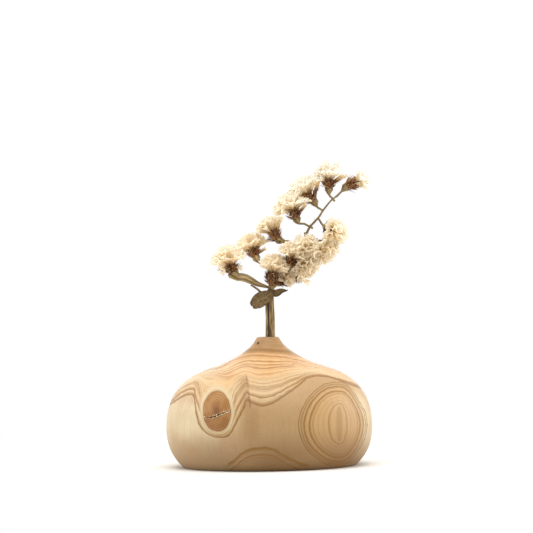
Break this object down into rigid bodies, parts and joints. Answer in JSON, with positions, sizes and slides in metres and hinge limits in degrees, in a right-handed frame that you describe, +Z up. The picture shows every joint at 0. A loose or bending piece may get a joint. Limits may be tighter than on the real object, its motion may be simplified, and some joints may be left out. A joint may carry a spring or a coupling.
{
  "type": "bud vase with dried sprig",
  "caption": "Squat turned wooden bud vase with a short conical neck and a narrow bore, holding a loose sprig of dried papery flowers that lifts out.",
  "frame": {"origin": "centre of the flat foot, on the surface that the vase stands on", "axes": "+Z up along the vase's turning axis, +X to the right and -Y towards the viewer, as the sprig leans to the right"},
  "size_m": [0.1212, 0.12, 0.1785],
  "materials": {
    "pale_wood": "fine-sanded and oiled, satin",
    "dried_stem": "dry, ribbed, matt",
    "dried_leaf": "dry, papery, matt",
    "brown_bract": "dry, scaly, matt",
    "cream_calyx": "thin, papery, translucent, matt"
  },
  "bodies": {
    "vase": {"vase_body": "pale_wood"},
    "sprig": {"main_stem": "dried_stem", "flower_axis": "dried_stem", "side_twig": "dried_stem", "leaf_blade": "dried_leaf", "stipule": "dried_leaf", "head_01_stalk": "dried_stem", "head_02_stalk": "dried_stem", "head_03_stalk": "dried_stem", "head_04_stalk": "dried_stem", "head_05_stalk": "dried_stem", "head_06_stalk": "dried_stem", "head_07_stalk": "dried_stem", "head_08_stalk": "dried_stem", "head_09_stalk": "dried_stem", "head_10_stalk": "dried_stem", "head_11_stalk": "dried_stem", "head_12_stalk": "dried_stem", "head_13_stalk": "dried_stem", "head_14_stalk": "dried_stem", "head_15_stalk": "dried_stem", "head_01_bracts": "brown_bract", "head_02_bracts": "brown_bract", "head_03_bracts": "brown_bract", "head_04_bracts": "brown_bract", "head_05_bracts": "brown_bract", "head_06_bracts": "brown_bract", "head_07_bracts": "brown_bract", "head_08_bracts": "brown_bract", "head_09_bracts": "brown_bract", "head_10_bracts": "brown_bract", "head_11_bracts": "brown_bract", "head_12_bracts": "brown_bract", "head_13_bracts": "brown_bract", "head_14_bracts": "brown_bract", "head_15_bracts": "brown_bract", "head_01_calyces": "cream_calyx", "head_02_calyces": "cream_calyx", "head_03_calyces": "cream_calyx", "head_04_calyces": "cream_calyx", "head_05_calyces": "cream_calyx", "head_06_calyces": "cream_calyx", "head_07_calyces": "cream_calyx", "head_08_calyces": "cream_calyx", "head_09_calyces": "cream_calyx", "head_10_calyces": "cream_calyx", "head_11_calyces": "cream_calyx", "head_12_calyces": "cream_calyx", "head_13_calyces": "cream_calyx", "head_14_calyces": "cream_calyx", "head_15_calyces": "cream_calyx"}
  },
  "joints": [
    {"name": "sprig_lift", "type": "slide", "parent": "vase", "child": "sprig", "axis": [0, 0, 1], "range_m": [0, 0.06]}
  ]
}
